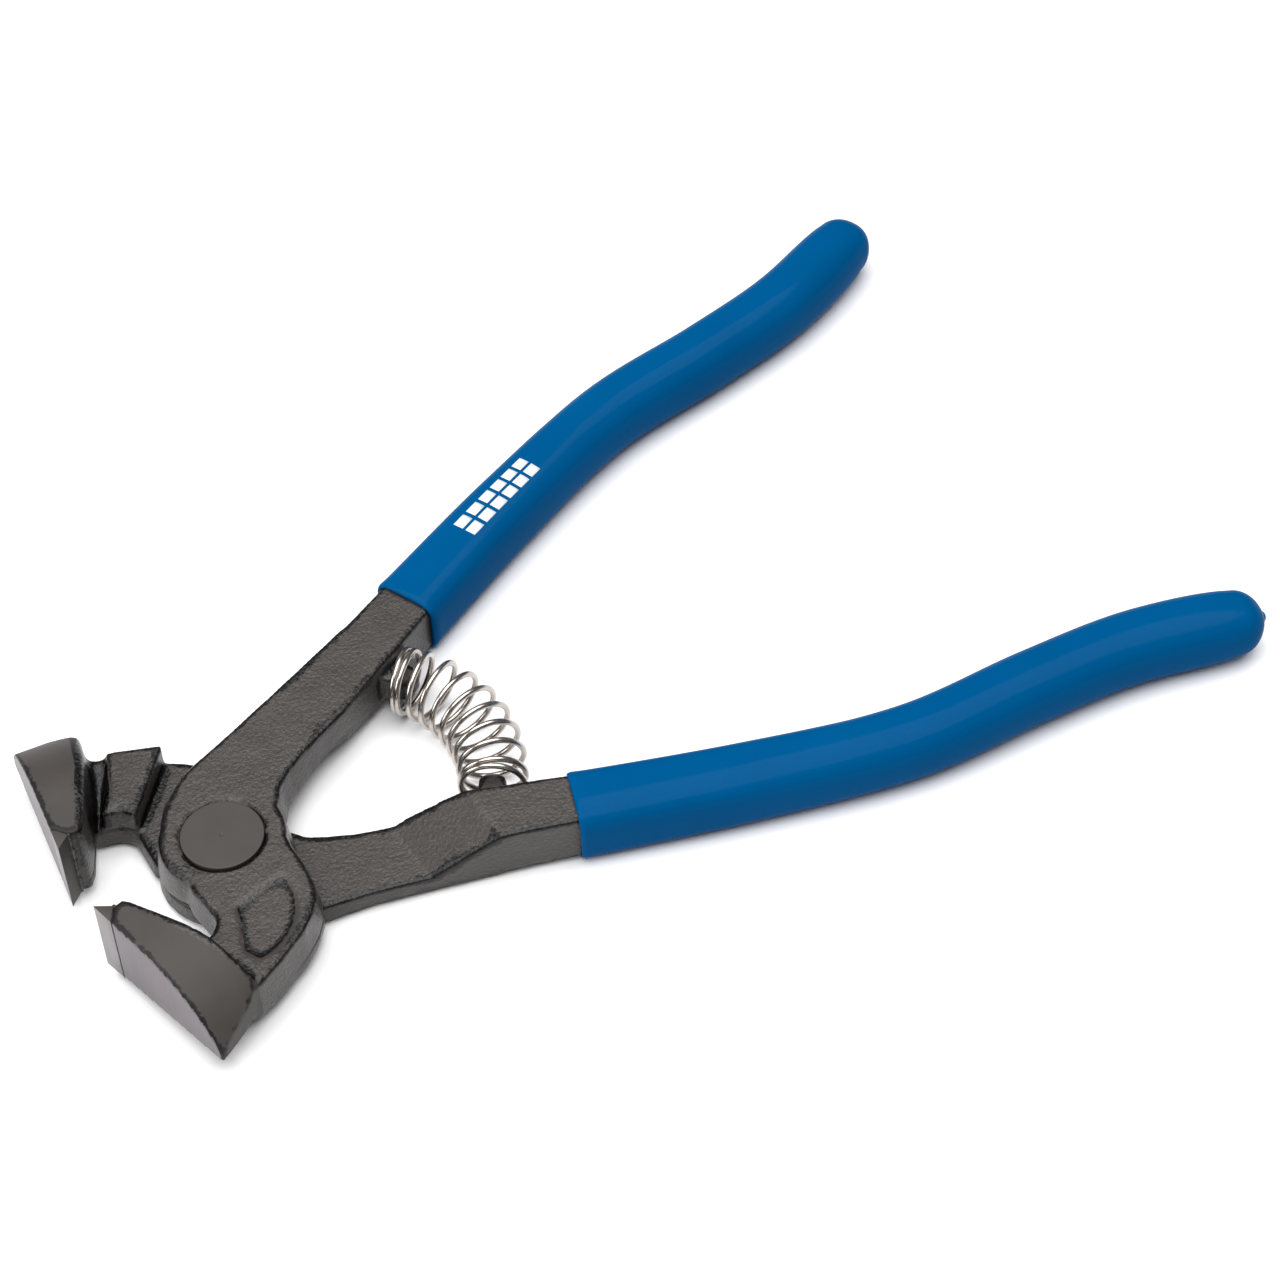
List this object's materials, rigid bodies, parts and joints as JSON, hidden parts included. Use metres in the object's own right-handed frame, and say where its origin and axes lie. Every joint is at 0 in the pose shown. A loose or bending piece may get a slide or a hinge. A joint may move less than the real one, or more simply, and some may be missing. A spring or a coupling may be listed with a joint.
{
  "type": "tile nippers",
  "caption": "Sprung hand nippers with two pivoting levers, carbide-edged jaws and dipped handle grips, for biting small pieces off floor and wall tiles.",
  "frame": {"origin": "centre of the rear rivet head's flat face, on the pivot axis", "axes": "+Z along the pivot axis from the rear lever to the front lever, +X along the centre line between the open handles towards their tips, +Y towards the front lever's handle"},
  "size_m": [0.2063, 0.1322, 0.0182],
  "materials": {
    "lacquered_steel": "thin dark lacquer over rough forged steel",
    "rivet_steel": "flat rivet head under the same dark lacquer",
    "carbide": "ground carbide, satin",
    "braze": "darkened braze metal",
    "spring_wire": "bright nickel-plated wire",
    "dipped_grip": "smooth glossy dipped vinyl"
  },
  "bodies": {
    "rear_arm": {"rear_lever": "lacquered_steel", "rear_grip": "dipped_grip", "rear_carbide_tip": "carbide", "rear_braze_layer": "braze", "pivot_rivet": "rivet_steel", "return_spring": "spring_wire"},
    "front_arm": {"front_lever": "lacquered_steel", "front_grip": "dipped_grip", "front_carbide_tip": "carbide", "front_braze_layer": "braze"}
  },
  "joints": [
    {"name": "lever_pivot", "type": "hinge", "parent": "rear_arm", "child": "front_arm", "pos_m": [0, 0, 0], "axis": [0, 0, 1], "range_deg": [-28.4, 0], "stiffness_Nm_per_rad": 2, "deforming": ["return_spring"]}
  ]
}
